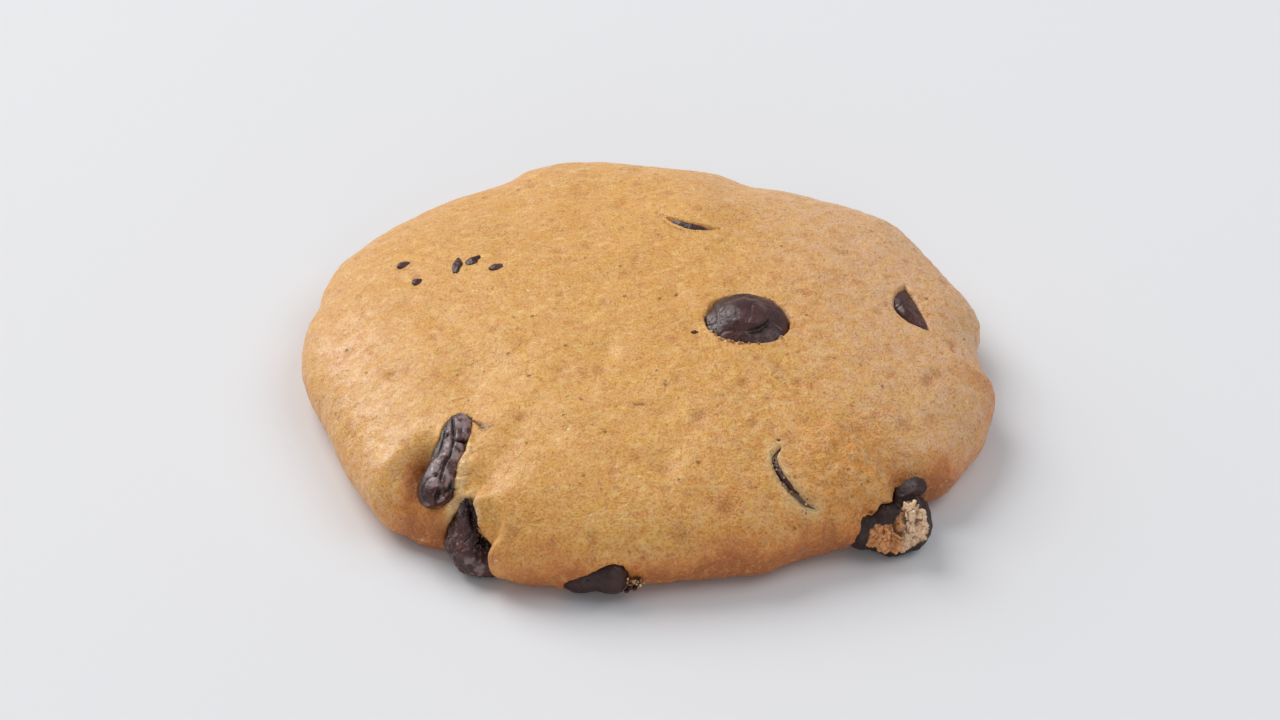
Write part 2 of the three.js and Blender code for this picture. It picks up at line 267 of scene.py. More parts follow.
def clods(points, spacing, gap, seed):
    """A pebbly pattern: 1 on each pebble, falling to 0 in the gaps between them."""
    rng = np.random.default_rng(seed)
    twist = [layered_noise(points, 1.5 * spacing, 2, seed + k) for k in (1, 2, 3)]
    points = points + 0.3 * spacing * np.stack(twist, 1)
    low, high = points.min(0), points.max(0)
    count = int(np.prod((high - low) / spacing) * 1.6) + 8
    seeds = low + (high - low) * rng.random((count, 3))
    away = np.linalg.norm(points[:, None] - seeds[None], axis=2)
    away.partition(1, axis=1)
    return smoothstep(away[:, 1] - away[:, 0], 0.02 * spacing, gap * spacing)


# Where the left rim's chip is full of holes: a line of points along its right half
PITTED = [(-20.9, -32.9, 9.6), (-20.5, -34.4, 7.8), (-19.7, -35.3, 6.4), (-19.1, -36.5, 4.8)]
# Baked crumb that stuck to the right rim's chip: middle and half sizes of each lump
CRUMB_LUMPS = [
    ((29.5, -33.1, 3.4), (2.3, 1.5, 1.8)),
    ((33.0, -31.8, 4.9), (2.3, 2.0, 2.9)),
    ((31.4, -32.6, 2.7), (1.8, 1.5, 1.2)),
]

# Left of here the stuck crumb is browner: where it starts and where it is full, along -X
WARM_CRUMB = (-32.0, -30.8)

# How a chip's surface is made: height of its wrinkles and its grain, how dusty it is (on the long chip
# the pale dust paints a satin sheen), how dark it is (on the chips at the front rim and in the slit
# partly painted shade), and how many times it is smoothed
CHIP_LOOKS = {
    "chip_middle": {"wrinkle": 0.1, "grain": 0.012, "dust_and_sheen": 0.1, "dark": 0.2, "smoothing": 40},
    "chip_back": {"wrinkle": 0.05, "grain": 0.02, "dust_and_sheen": 0.1, "smoothing": 12},
    "chip_right": {"wrinkle": 0.06, "grain": 0.02, "dust_and_sheen": 0.15, "smoothing": 12},
    "chip_slit": {"wrinkle": 0.05, "grain": 0.05, "dust_and_sheen": 0.4, "dark": 0.4, "smoothing": 12},
    # The long chip's full dust paints a satin sheen on it
    "chip_left": {"wrinkle": 0.07, "grain": 0.05, "dust_and_sheen": 1.0, "smoothing": 28},
    "chip_left_rim": {"wrinkle": 0.2, "grain": 0.16, "dust_and_sheen": 0.65, "smoothing": 8},
    "chip_front_rim": {"wrinkle": 0.1, "grain": 0.02, "dust_and_sheen": 0.1, "dark": 0.7, "smoothing": 14},
    "chip_right_rim": {"wrinkle": 0.14, "grain": 0.05, "dust_and_sheen": 0.05, "dark": 1.0, "smoothing": 32},
    "chip_back_rim_left": {"wrinkle": 0.12, "grain": 0.02, "dust_and_sheen": 0.3, "smoothing": 14},
    "chip_back_rim_right": {"wrinkle": 0.12, "grain": 0.02, "dust_and_sheen": 0.3, "smoothing": 14},
}
# The spacing of the chips' meshes, and how far the chips stay above the table
VOXEL = 0.15
FLOOR_CLEARANCE = 0.02

# Cracks in the chips: a line of points on the surface, width and depth
CHIP_CRACKS = {
    "chip_left": [
        ([(-23.2, -20.8, 13.2), (-23.2, -22.7, 13.2), (-23.0, -24.4, 12.9), (-23.0, -25.5, 12.7),
          (-23.4, -27.4, 11.9), (-24.0, -28.3, 11.5), (-24.4, -30.5, 10.8), (-24.6, -32.2, 9.5)], 0.2, 0.5),
        ([(-22.9, -25.5, 12.7), (-22.4, -25.5, 12.6), (-21.2, -25.2, 12.0), (-20.6, -25.0, 11.4)],
         0.24, 0.7),
        ([(-24.6, -31.5, 10.2), (-24.7, -32.3, 9.2), (-24.6, -33.0, 7.8)], 0.32, 0.8),
        ([(-25.3, -30.0, 11.0), (-24.8, -30.3, 11.0)], 0.2, 0.45),
        ([(-24.1, -22.0, 12.8), (-24.5, -25.6, 12.0), (-25.1, -27.6, 11.5)], 0.22, 0.4),
        ([(-22.9, -29.8, 10.0), (-23.2, -30.9, 9.5), (-23.9, -31.9, 9.4)], 0.34, 0.7),
        ([(-23.6, -24.6, 12.8), (-24.3, -24.4, 12.4)], 0.18, 0.35),
        ([(-22.2, -22.4, 13.1), (-22.0, -24.3, 12.8)], 0.18, 0.3),
    ],
    "chip_middle": [
        ([(12.3, -7.4, 15.6), (13.4, -7.5, 15.6), (14.6, -7.0, 15.6), (15.5, -6.1, 15.7),
          (16.0, -5.0, 15.7)], 0.42, 0.6),
    ],
    "chip_left_rim": [
        ([(-20.9, -32.9, 9.6), (-20.6, -34.0, 8.6), (-20.9, -35.2, 6.5), (-21.8, -36.0, 4.9)], 0.35, 0.7),
        ([(-20.0, -34.4, 8.0), (-19.4, -35.6, 6.4), (-19.2, -36.6, 4.6)], 0.45, 0.9),
    ],
    "chip_right_rim": [
        ([(31.5, -31.6, 7.3), (31.3, -32.6, 6.0), (31.6, -33.2, 4.9), (32.4, -33.4, 4.0)], 0.35, 0.9),
        ([(30.6, -32.3, 6.0), (30.7, -33.0, 4.6), (31.4, -33.2, 3.4)], 0.3, 0.8),
    ],
}


def chip_holes(points):
    """Where the left rim's chip is full of holes, and how far inside a hole each point is."""
    away, _ = path_distance(points, PITTED)
    holed = np.exp(-((away / 1.5) ** 4))
    near = holed > 0.02
    holes = np.zeros(len(points))
    holes[near] = holed[near] * (1 - clods(points[near], 0.85, 0.35, 7))
    return holed, holes


def stuck_crumb(points):
    """Where baked crumb covers the right rim's chip, how far it rises, and how much painted shade lies in
    its gaps.
    """
    crumb, rise, gaps = np.zeros((3, len(points)))
    for centre, size in CRUMB_LUMPS:
        away = np.linalg.norm((points - centre) / size, axis=1)
        away += 0.22 * layered_noise(points, 1.3, 3, 91)
        crumb = np.maximum(crumb, 1 - smoothstep(away, 1.06, 1.12))
    baked = crumb > 0
    inside = points[baked]
    clumps, grains = clods(inside, 0.9, 0.22, 5), clods(inside, 0.42, 0.3, 6)
    holes = smoothstep(layered_noise(inside, 1.5, 2, 9), 0.1, 0.5)
    rough = 0.5 * layered_noise(inside, 1.2, 3, 8) + 0.25 * clumps + 0.16 * grains - 0.15
    rise[baked] = crumb[baked] * (rough - 0.5 * holes)
    patchy = 0.8 + 0.2 * smoothstep(layered_noise(inside, 0.9, 2, 10), -0.1, 0.4)
    gaps[baked] = patchy * (1 - clumps * (0.7 + 0.3 * grains) * (1 - 0.7 * holes))
    return crumb, rise, gaps


def build_chip(node, look):
    points, normals, faces = remeshed_chip(node, VOXEL, look["smoothing"])
    seed = 50 + sorted(CHIP_LOOKS).index(node)
    plain = points
    offset = look["wrinkle"] * layered_noise(points, 1.9, 3, seed)
    offset += look["grain"] * layered_noise(points, 0.5, 2, seed + 9)
    offset -= look["wrinkle"] * 0.8 * smoothstep(-np.abs(gradient_noise(points, 3.4, seed + 30)), -0.12, 0)
    cuts = np.zeros(len(points))
    for line in CHIP_CRACKS.get(node, []):
        cuts = np.maximum(cuts, crack(points, *line))
    offset -= cuts
    # Cracks get painted shade, the darker the deeper they cut
    painted_shade = np.clip(cuts / 0.4, 0, 1)
    crumb, holed = np.zeros(len(points)), np.zeros(len(points))
    if node == "chip_left_rim":
        holed, holes = chip_holes(points)
        offset -= 0.55 * holes
        # Painted shade in the holes
        painted_shade = np.maximum(painted_shade, holes)
    if node == "chip_right_rim":
        crumb, rise, gaps = stuck_crumb(points)
        offset += rise
        # Painted shade in the crumb's gaps
        painted_shade = np.maximum(painted_shade, gaps)
    points = points + normals * offset[:, None]
    points[:, 2] = np.maximum(points[:, 2], FLOOR_CLEARANCE)
    piece = mesh_object("chocolate_" + node, points * MM, faces)
    patches, dust_and_sheen_level = layered_noise(points, 1.3, 3, seed + 20), look["dust_and_sheen"]
    # Pale dust, which on the long chip also paints a satin sheen
    dust_and_sheen = dust_and_sheen_level * smoothstep(patches, 0.5 - 0.7 * dust_and_sheen_level, 0.9 - 0.5 * dust_and_sheen_level)
    if node == "chip_left":
        # Its flank over the shaded valley at its left gets painted shade, and no dust or painted sheen
        shaded = smoothstep(-normals[:, 0], 0.25, 0.75)
        painted_shade = np.maximum(painted_shade, 0.6 * shaded)
        dust_and_sheen *= 1 - shaded
    add_attribute(piece.data, "crumb", crumb)
    add_attribute(piece.data, "painted_shade", painted_shade)
    add_attribute(piece.data, "dust_and_sheen", dust_and_sheen * (1 - holed))
    add_attribute(piece.data, "dark", np.full(len(points), look.get("dark", 0)))
    add_attribute(piece.data, "warm", smoothstep(-points[:, 0], *WARM_CRUMB))
    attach(piece, "root")
    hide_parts(node)
    return {"piece": piece, "points": points, "plain": plain, "faces": faces}


def tree_of(parts, shape="points"):
    """A tree for finding places on some chips, with or without their relief."""
    points, faces = [], []
    for part in parts:
        start = sum(len(p) for p in points)
        points.append(part[shape])
        faces += [tuple(i + start for i in face) for face in part["faces"]]
    return BVHTree.FromPolygons(np.concatenate(points).tolist(), faces)


chips = {node: build_chip(node, look) for node, look in CHIP_LOOKS.items()}


# Gaps in the top, through which the chips under it show. Each gives a point's distance outside it.

def ellipse_gap(at, half_width, half_depth):
    def outside(plan):
        away = np.hypot((plan[:, 0] - at[0]) / half_width, (plan[:, 1] - at[1]) / half_depth)
        return (away - 1) * min(half_width, half_depth)
    return outside


def lens_gap(tip, other_tip, low, high):
    """Between two shallow arcs that bow out to the right of the chord by low and by high."""
    start, end = np.array(tip), np.array(other_tip)
    middle, half = (start + end) / 2, np.linalg.norm(end - start) / 2
    along = (end - start) / (2 * half)
    right = np.array([along[1], -along[0]])

    def outside(plan):
        t = (plan - middle) @ along / half
        across = (plan - middle) @ right
        bow = np.maximum(1 - t * t, 0)
        beside = np.maximum(across - high * bow, low * bow - across)
        return np.where(np.abs(t) > 1, np.hypot(np.abs(t) - 1, across / half) * half, beside)
    return outside


def slit_gap(path, half_width):
    def outside(plan):
        away, share = path_distance(plan, path)
        return away - half_width * np.sqrt(np.clip(4 * share * (1 - share), 0, 1))
    return outside


SLIT = [
    (16.6, -26.2), (15.8, -27.6), (16.0, -29.1), (16.8, -30.7), (17.9, -32.1), (19.6, -33.1), (20.8, -33.4),
]
GAP_REACH = 7
# Each gap's shape, how round its edge is and how thick the dough over the chip is at least
GAPS = {
    "chip_middle": {"outside": ellipse_gap((13.1, -3.95), 5.45, 5.0), "lip": 0.25, "cover": 0.12},
    "chip_back": {"outside": lens_gap((1.8, 19.2), (9.9, 15.6), 0.6, 2.3), "lip": 0.5, "cover": 0.3},
    "chip_right": {"outside": lens_gap((33.6, 7.1), (36.3, -1.8), -0.25, 3.0), "lip": 0.5, "cover": 0.3},
    "chip_slit": {"outside": slit_gap(SLIT, 0.45), "lip": 0.45, "cover": 0.32},
}
side_chips = [part for node, part in chips.items() if node not in GAPS]
side_tree = tree_of(side_chips, "plain")
side_spans = [(part["points"].min(0), part["points"].max(0)) for part in side_chips]


# The distance that stands for every place out of reach
FAR = 99.0


def side_distance(points, reach):
    """Each point's distance outside the nearest chip of the rim, less than 0 inside it, and the
    chip's outward direction there."""
    distance, outward = np.full(len(points), FAR), np.zeros((len(points), 3))
    near = np.zeros(len(points), bool)
    for low, high in side_spans:
        near |= np.all((points > low - reach) & (points < high + reach), axis=1)
    for i in np.nonzero(near)[0]:
        point = Vector(points[i])
        place, normal, _, gap = side_tree.find_nearest(point)
        distance[i] = math.copysign(gap, (point - place).dot(normal))
        outward[i] = normal
    return distance, outward


def gap_distance(points):
    return np.min([gap["outside"](points[:, :2]) for gap in GAPS.values()], axis=0)


def heights_below(tree, points):
    """The height of a surface under each point, or nan beside it."""
    down = Vector((0, 0, -1))
    hits = [tree.ray_cast(Vector((x, y, 30)), down)[0] for x, y, _ in points]
    return np.array([math.nan if hit is None else hit.z for hit in hits])


def open_gap(points, node, outside, lip, cover):
    """Rounds the dough's edge at a gap, sinks the dough inside it below the chip, and elsewhere
    lets the dough cover the chip by at least cover."""
    plan_gap = outside(points[:, :2])
    near = (plan_gap < GAP_REACH) & (points[:, 2] > TOP_FROM)
    near_points = points[near]
    edge = plan_gap[near] + 0.08 * layered_noise(near_points, 1.3, 3, 61)
    chip_top = heights_below(tree_of([chips[node]]), near_points)
    beside = np.isnan(chip_top)
    height = near_points[:, 2]
    under = np.where(beside, height - lip, chip_top)
    thick = np.maximum(height - under, cover)
    rounding = np.minimum(thick, lip)
    share = np.clip(edge / rounding, 0, 1)
    over = under + thick - rounding * (1 - np.sqrt(1 - (1 - share) ** 2))
    sunk = under - 0.4 * smoothstep(-edge, 0, 0.15) - 1.6 * smoothstep(-edge, 0.1, 0.9)
    sunk = np.where(beside, height - 0.5 * lip * smoothstep(-edge, 0, 0.2), sunk)
    points[near, 2] = np.where(edge > 0, over, sunk)


# The dough

def dough_map():
    """The dough's surface as a flat map: rings round the crown, then rows to the base's middle."""
    mesh = bmesh.new()
    rings = [[mesh.verts.new((0, 0, 0))]]
    for k in range(1, RINGS + 1):
        way = k / RINGS * DOME_LENGTH
        turns = np.arange(6 * k) / (6 * k) * 2 * math.pi
        rings.append([mesh.verts.new((way * math.cos(a), way * math.sin(a), 0)) for a in turns])
    for k in range(1, RINGS + 1):
        inner, outer = rings[k - 1], rings[k]
        for i in range(6 * k):
            side, j = divmod(i, k)
            a = inner[(side * (k - 1) + j) % len(inner)]
            b, c = outer[i], outer[(i + 1) % (6 * k)]
            mesh.faces.new((a, b, c))
            if j < k - 1:
                mesh.faces.new((a, c, inner[(side * (k - 1) + j + 1) % len(inner)]))
    ways = [DOME_LENGTH + (r + 1) / UNDER_ROWS * UNDER_LENGTH for r in range(UNDER_ROWS)]
    ways += [DOME_LENGTH + UNDER_LENGTH + (r + 1) / (BASE_ROWS + 1) * BASE_LENGTH for r in range(BASE_ROWS)]
    turns = np.arange(6 * RINGS) / (6 * RINGS) * 2 * math.pi
    last = rings[-1]
    for way in ways:
        row = [mesh.verts.new((way * math.cos(a), way * math.sin(a), 0)) for a in turns]
        for i in range(len(row)):
            n = (i + 1) % len(row)
            mesh.faces.new((last[i], row[i], row[n], last[n]))
        last = row
    middle = mesh.verts.new((DOME_LENGTH + UNDER_LENGTH + BASE_LENGTH, 0, 0))
    for i in range(len(last)):
        mesh.faces.new((last[i], middle, last[(i + 1) % len(last)]))
    return mesh


def map_coordinates(mesh):
    return np.array([v.co[:2] for v in mesh.verts])


def refine_near_chips(mesh, reach):
    """Splits the map's edges where the dough meets a chip."""
    points = shaped_dough(map_coordinates(mesh))[0]
    distance, _ = side_distance(points, reach)
    on_top = points[:, 2] > TOP_FROM
    close = (np.abs(distance) < reach) | ((np.abs(gap_distance(points)) < reach) & on_top)
    mesh.verts.index_update()
    edges = [e for e in mesh.edges if close[e.verts[0].index] and close[e.verts[1].index]]
    bmesh.ops.subdivide_edges(mesh, edges=edges, cuts=1, use_grid_fill=True)
    bmesh.ops.triangulate(mesh, faces=[f for f in mesh.faces if len(f.verts) > 4])
    mesh.verts.ensure_lookup_table()


# Pits that show in the photograph: plan position, radius and depth
PITS = [
    (-31.2, -12.1, 0.9, 0.3), (-26.1, -6.2, 0.7, 0.25), (-10.3, -13.9, 0.8, 0.25), (-5.3, -14.1, 0.8, 0.3),
    (-4.8, -1.1, 0.7, 0.25), (-0.8, 8.5, 0.7, 0.25), (12.4, -16.1, 0.75, 0.4), (6.9, -22.0, 0.9, 0.3),
    (2.6, -30.2, 0.9, 0.3), (10.0, -35.1, 1.1, 0.4), (4.5, -38.1, 0.9, 0.35), (-15.9, -38.3, 0.8, 0.3),
    (24.3, -30.8, 0.8, 0.3), (-6.1, -38.8, 0.8, 0.3), (26.5, -21.7, 0.7, 0.25), (35.7, -11.6, 0.8, 0.3),
    (-18.6, -5.7, 0.7, 0.25), (-15.0, -22.1, 0.7, 0.25), (-10.7, 10.8, 0.8, 0.25), (15.2, -18.8, 0.6, 0.2),
]
# Fine cracks in the crust: plan lines, width and depth
CRUST_CRACKS = [
    ([(-21.0, -21.6), (-20.1, -22.4), (-19.4, -23.4), (-18.9, -24.2)], 0.16, 0.3),
    ([(-20.1, -22.4), (-18.8, -22.9), (-18.6, -23.6)], 0.14, 0.25),
    ([(16.4, -25.0), (16.5, -25.5)], 0.2, 0.3),
    ([(-2.0, -20.4), (-0.6, -20.0), (0.9, -20.3)], 0.13, 0.14),
    ([(2.6, -15.6), (2.8, -17.3)], 0.12, 0.14),
    ([(8.6, -18.5), (10.2, -18.3)], 0.13, 0.14),
]
# Small rises and dips beside the chips: plan position, radius and height
LOCAL_SWELLS = [
    (13.1, 1.8, 3.0, -0.3), (43.0, -7.2, 1.6, 0.4), (43.2, -10.4, 1.3, 0.35), (-31.2, -28.6, 2.2, 0.5),
    (-26.4, -25.4, 1.8, -0.7), (-21.4, -28.4, 1.5, 0.9), (-21.0, -31.2, 1.3, 0.8), (-19.7, -33.0, 1.2, 0.9),
    (-18.6, -36.9, 1.4, -1.5), (26.5, -25.4, 1.8, 0.35), (23.2, -27.6, 1.6, -0.3),
    (-30.6, -25.8, 1.5, 0.35), (-18.1, -38.6, 1.0, 0.7), (27.0, -32.4, 1.5, -0.7),
    (-18.3, -28.4, 2.6, 0.55), (-13.8, -28.6, 3.2, -0.35), (-19.0, -35.2, 1.0, -0.7),
    (-19.4, -38.3, 0.9, 0.9),
]
# Browned crust at the rim, and painted shade in the valley left of the long chip, the first three: plan
# position, radius and strength
BROWNED_AND_SHADED = [
    (-26.8, -27.2, 2.1, 1.8), (-28.0, -31.0, 2.6, 0.55), (-25.0, -33.4, 2.4, 0.7), (10, -36.5, 6.0, 0.3),
    (-12, -38.0, 6.0, 0.2), (22, -34.0, 5.0, 0.2), (31.0, -26.5, 2.2, 0.5), (36.5, -24.0, 3.0, 0.5),
    (43, -8, 4.0, 0.4), (-38, -6, 4.5, 0.25),
]
# The torn edge of the dough beside the two chips of the left, and the shoulder that shines, where a pale
# pink sheen is painted
TORN_EDGE = [(-21.6, -27.0), (-22.2, -29.5), (-22.2, -31.4), (-20.3, -33.2)]
SHOULDER = [(-37.5, -3), (-36.5, -11), (-34.0, -18), (-31.4, -24), (-31.0, -28)]
# The coarse golden slope between the slit and the right rim's chip: middle and radius
SLOPE, SLOPE_RADIUS = (25.5, -27.5), 7


def near_place(points, at, radius, power=2):
    """1 at a plan position, falling to 0 beyond a radius."""
    away = np.hypot(points[:, 0] - at[0], points[:, 1] - at[1]) / radius
    return np.exp(-(away**power))


def near_line(points, path, width):
    """1 on a plan line of points, falling to 0 beside it."""
    return np.exp(-((path_distance(points[:, :2], path)[0] / width) ** 2))


def random_pits(count, radii, depths, seed):
    rng = np.random.default_rng(seed)
    out, turn = np.sqrt(rng.random(count)) * 42, rng.random(count) * 2 * math.pi
    radius = radii[0] + (radii[1] - radii[0]) * rng.random(count) ** 2
    depth = depths[0] + (depths[1] - depths[0]) * rng.random(count) ** 2
    return list(zip(out * np.cos(turn), out * np.sin(turn), radius, -depth))


def contact_offset(points, normals, tear):
    """How the dough rolls over the chips of the rim, with its ragged distance from them. It is
    the more ragged where tear is nearer 1."""
    distance, outward = side_distance(points, 3)
    uneven = (0.16 * layered_noise(points, 2.6, 2, 21) + 0.02) * (distance < FAR)
    ragged = distance + uneven + 0.3 * tear * layered_noise(points, 1.1, 3, 23)
    flap = smoothstep(np.einsum("ij,ij->i", outward, normals), 0.15, 0.6)
    lip = 0.75
    share = np.clip(ragged / lip, 0, 1)
    curve = np.sqrt(1 - (1 - share) ** 2)
    lift = flap * lip * (curve - share)
    shoulder = (1 - flap) * 0.9 * (1 - curve)
    sunk = 0.35 * smoothstep(-ragged, 0.0, 0.3)
    return lift - shoulder - sunk, ragged


def dough_relief(points, normals):
    """How far the fine relief lifts the dough at each point, and marks of 0 to 1 that colour it."""
    coarse = smoothstep(points[:, 0] - 0.5 * points[:, 1], -5, 40)
    tear = near_line(points, TORN_EDGE, 1.5)
    slope = near_place(points, SLOPE, SLOPE_RADIUS, 4)
    pits = bumps(points, random_pits(330, (0.4, 0.85), (0.06, 0.26), 5), 2.6) * (0.6 + 0.9 * coarse)
    pits += bumps(points, [(x, y, radius, -depth) for x, y, radius, depth in PITS], 2.6)
    cracks = sum(crack(points[:, :2], *line) for line in CRUST_CRACKS)
    fine = pits + bumps(points, LOCAL_SWELLS)
    fine += 0.05 * layered_noise(points, 2.6, 2, 11)
    fine += (0.05 + 0.08 * coarse) * layered_noise(points, 1.1, 2, 12)
    fine += 0.3 * tear * layered_noise(points, 1.0, 3, 24)
    fine += 0.42 * slope * layered_noise(points, 1.2, 3, 25)
    contact, ragged = contact_offset(points, normals, tear)
    torn = smoothstep(-ragged, -1.6, -0.3) * (ragged > -0.3) * smoothstep(tear, 0.1, 0.5)
    marks = {"coarse": coarse, "golden": slope, "torn": torn}
    # Pits and cracks, to be darkened with painted shade
    marks["pit_shade"] = np.clip(-pits / 0.25, 0, 1)
    marks["crack"] = np.clip(cracks / 0.15, 0, 1)
    return smoothstep(points[:, 2], 0.2, 1.5) * (fine + contact - cracks), marks


def toasted_and_shaded(points):
    """How brown the dough is: baked brown low on its side and below, with painted shade on the front side,
    which faces away from the light, and in the valley left of the long chip.
    """
    angle = np.degrees(np.arctan2(points[:, 1], points[:, 0]))
    low = smoothstep(-points[:, 2], -9.5, -2.0)
    # The front side's extra darkening is painted shade
    front_shade = np.exp(-(((angle + 70) / 50) ** 2))
    toast_and_shade = low * (0.35 + 0.65 * front_shade)
    toast_and_shade += sum(strength * near_place(points, (x, y), radius) for x, y, radius, strength in BROWNED_AND_SHADED)
    toast_and_shade += 0.16 * layered_noise(points, 7, 2, 31) + 0.2 * layered_noise(points, 1.8, 3, 32)
    underside = 1 - smoothstep(points[:, 2], 0.0, 1.0)
    return np.clip(np.maximum(toast_and_shade, 0.95 * underside), 0, 1)


def build_dough():
    flat = dough_map()
    for reach in (1.3, 0.6):
        refine_near_chips(flat, reach)
    points, normals = shaped_dough(map_coordinates(flat))
    flat.verts.index_update()
    faces = [[v.index for v in f.verts] for f in flat.faces]
    flat.free()
    relief, marks = dough_relief(points, normals)
    points = points + normals * relief[:, None]
    for node, gap in GAPS.items():
        open_gap(points, node, **gap)
    points[:, 2] = np.maximum(points[:, 2], 0)
    slit = GAPS["chip_slit"]["outside"](points[:, :2])
    on_top = points[:, 2] > TOP_FROM
    marks["crack"] = np.maximum(marks["crack"], smoothstep(-slit, 0.0, 0.12) * on_top)
    # A painted highlight along the slit's edge
    marks["slit_edge_highlight"] = smoothstep(-slit, -1.2, 0) * on_top
    marks["toast_and_shade"] = toasted_and_shaded(points)
    marks["shoulder"] = near_line(points, SHOULDER, 5)
    # Pinkish tone of the right side, partly a painted sheen
    marks["pink_tone_and_sheen"] = smoothstep(points[:, 0] + 0.35 * points[:, 1], 8, 36)
    piece = mesh_object("dough_round", points * MM, faces)
    for name, values in marks.items():
        add_attribute(piece.data, name, values)
    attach(piece, "root")
    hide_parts("dough")
    return piece


dough = build_dough()
dough_tree = BVHTree.FromPolygons(
    [v.co for v in dough.data.vertices], [tuple(p.vertices) for p in dough.data.polygons]
)


def on_dough(x, y):
    """The dough's top at a plan position, all in millimetres."""
    place, _, _, _ = dough_tree.ray_cast(Vector((x * MM, y * MM, 0.03)), Vector((0, 0, -1)))
    return np.array(place) / MM


# Small flecks of chocolate that break the surface: plan position, length, width and direction
FLECKS = [
    (-30.9, 10.9, 2.1, 1.1, 48), (-28.9, 6.4, 1.7, 1.2, 40), (-23.8, 8.9, 3.4, 0.95, 84),
    (-21.9, 9.6, 2.6, 1.1, 57), (-18.7, 7.5, 2.1, 1.1, 25), (6.4, -6.8, 1.0, 0.5, 10),
]


def lump(centre, size, turn, seed, rough=0.25, detail=3):
    """A small irregular lump: points and faces, in millimetres."""
    ball = bmesh.new()
    bmesh.ops.create_icosphere(ball, subdivisions=detail, radius=1)
    points = np.array([v.co for v in ball.verts])
    faces = [[v.index for v in f.verts] for f in ball.faces]
    ball.free()
    points *= (1 + rough * layered_noise(points + seed * 3.1, 0.9, 2, seed))[:, None]
    points *= size
    c, s = math.cos(turn), math.sin(turn)
    points[:, :2] = points[:, :2] @ np.array([[c, s], [-s, c]])
    return points + centre, faces


def joined(name, lumps):
    points, faces = [], []
    for lump_points, lump_faces in lumps:
        start = sum(len(p) for p in points)
        points.append(lump_points)
        faces += [[i + start for i in face] for face in lump_faces]
    piece = mesh_object(name, np.concatenate(points) * MM, faces)
    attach(piece, "root")
    return piece


def scattered_lumps(count, centre, spread, radii, rng):
    """Lumps at random round a centre, spread so far along each axis."""
    lumps = []
    for _ in range(count):
        at = np.array(centre) + rng.normal(size=3) * spread
        size = radii[0] + (radii[1] - radii[0]) * rng.random(3)
        lumps.append(lump(at, size, rng.random() * 6, int(rng.integers(900)), 0.4, 2))
    return lumps


def build_flecks():
    """The flecks, and the chocolate grains beside the front rim's chip."""
    rng = np.random.default_rng(8)
    lumps = scattered_lumps(18, (-0.9, -40.5, 2.5), (0.65, 0.25, 0.5), (0.18, 0.36), rng)
    for number, (x, y, length, width, turn) in enumerate(FLECKS):
        size = (length / 2, 0.65 * width, 0.4)
        lumps.append(lump(on_dough(x, y) - [0, 0, 0.12], size, math.radians(turn), 200 + number, 0.4))
    return joined("chocolate_flecks", lumps)


# The middle chip's edge, its plan middle and half sizes, and the directions, in degrees, in which
# crumbs lie at it
EDGE_MIDDLE, EDGE_SIZE = (13.1, -4.1), (5.5, 5.05)
CRUMB_TURNS = [212, 221, 229, 234, 243, 249, 258, 262, 271, 283, 318]


def build_crumbs():
    """Loose crumbs that stuck at the chips' edges."""
    rng = np.random.default_rng(14)
    lumps = []
    for turn in np.radians(CRUMB_TURNS):
        x = EDGE_MIDDLE[0] + EDGE_SIZE[0] * math.cos(turn)
        y = EDGE_MIDDLE[1] + EDGE_SIZE[1] * math.sin(turn)
        lumps.append(lump(on_dough(x, y), 0.16 + 0.14 * rng.random(3), turn, int(turn * 10), 0.4, 2))
    lumps += scattered_lumps(16, (-0.9, -40.7, 3.1), (0.75, 0.25, 0.35), (0.12, 0.26), rng)
    slit_tree = tree_of([chips["chip_slit"]])
    for x, y in np.array(SLIT)[1:6].repeat(4, axis=0) + rng.normal(size=(20, 2)) * (0.12, 0.5):
        at = on_dough(x, y)
        at[2] = np.fmax(at[2], heights_below(slit_tree, [at])[0])
        lumps.append(lump(at, 0.07 + 0.1 * rng.random(3), 0, int(rng.integers(900)), 0.4, 2))
    return joined("baked_crumbs", lumps)


flecks, crumbs = build_flecks(), build_crumbs()


# Materials

def linear(r, g, b):
    """A colour of 0 to 255 as seen, in the linear values that a shader takes."""
    return tuple(((c / 255 + 0.055) / 1.055) ** 2.4 for c in (r, g, b)) + (1,)


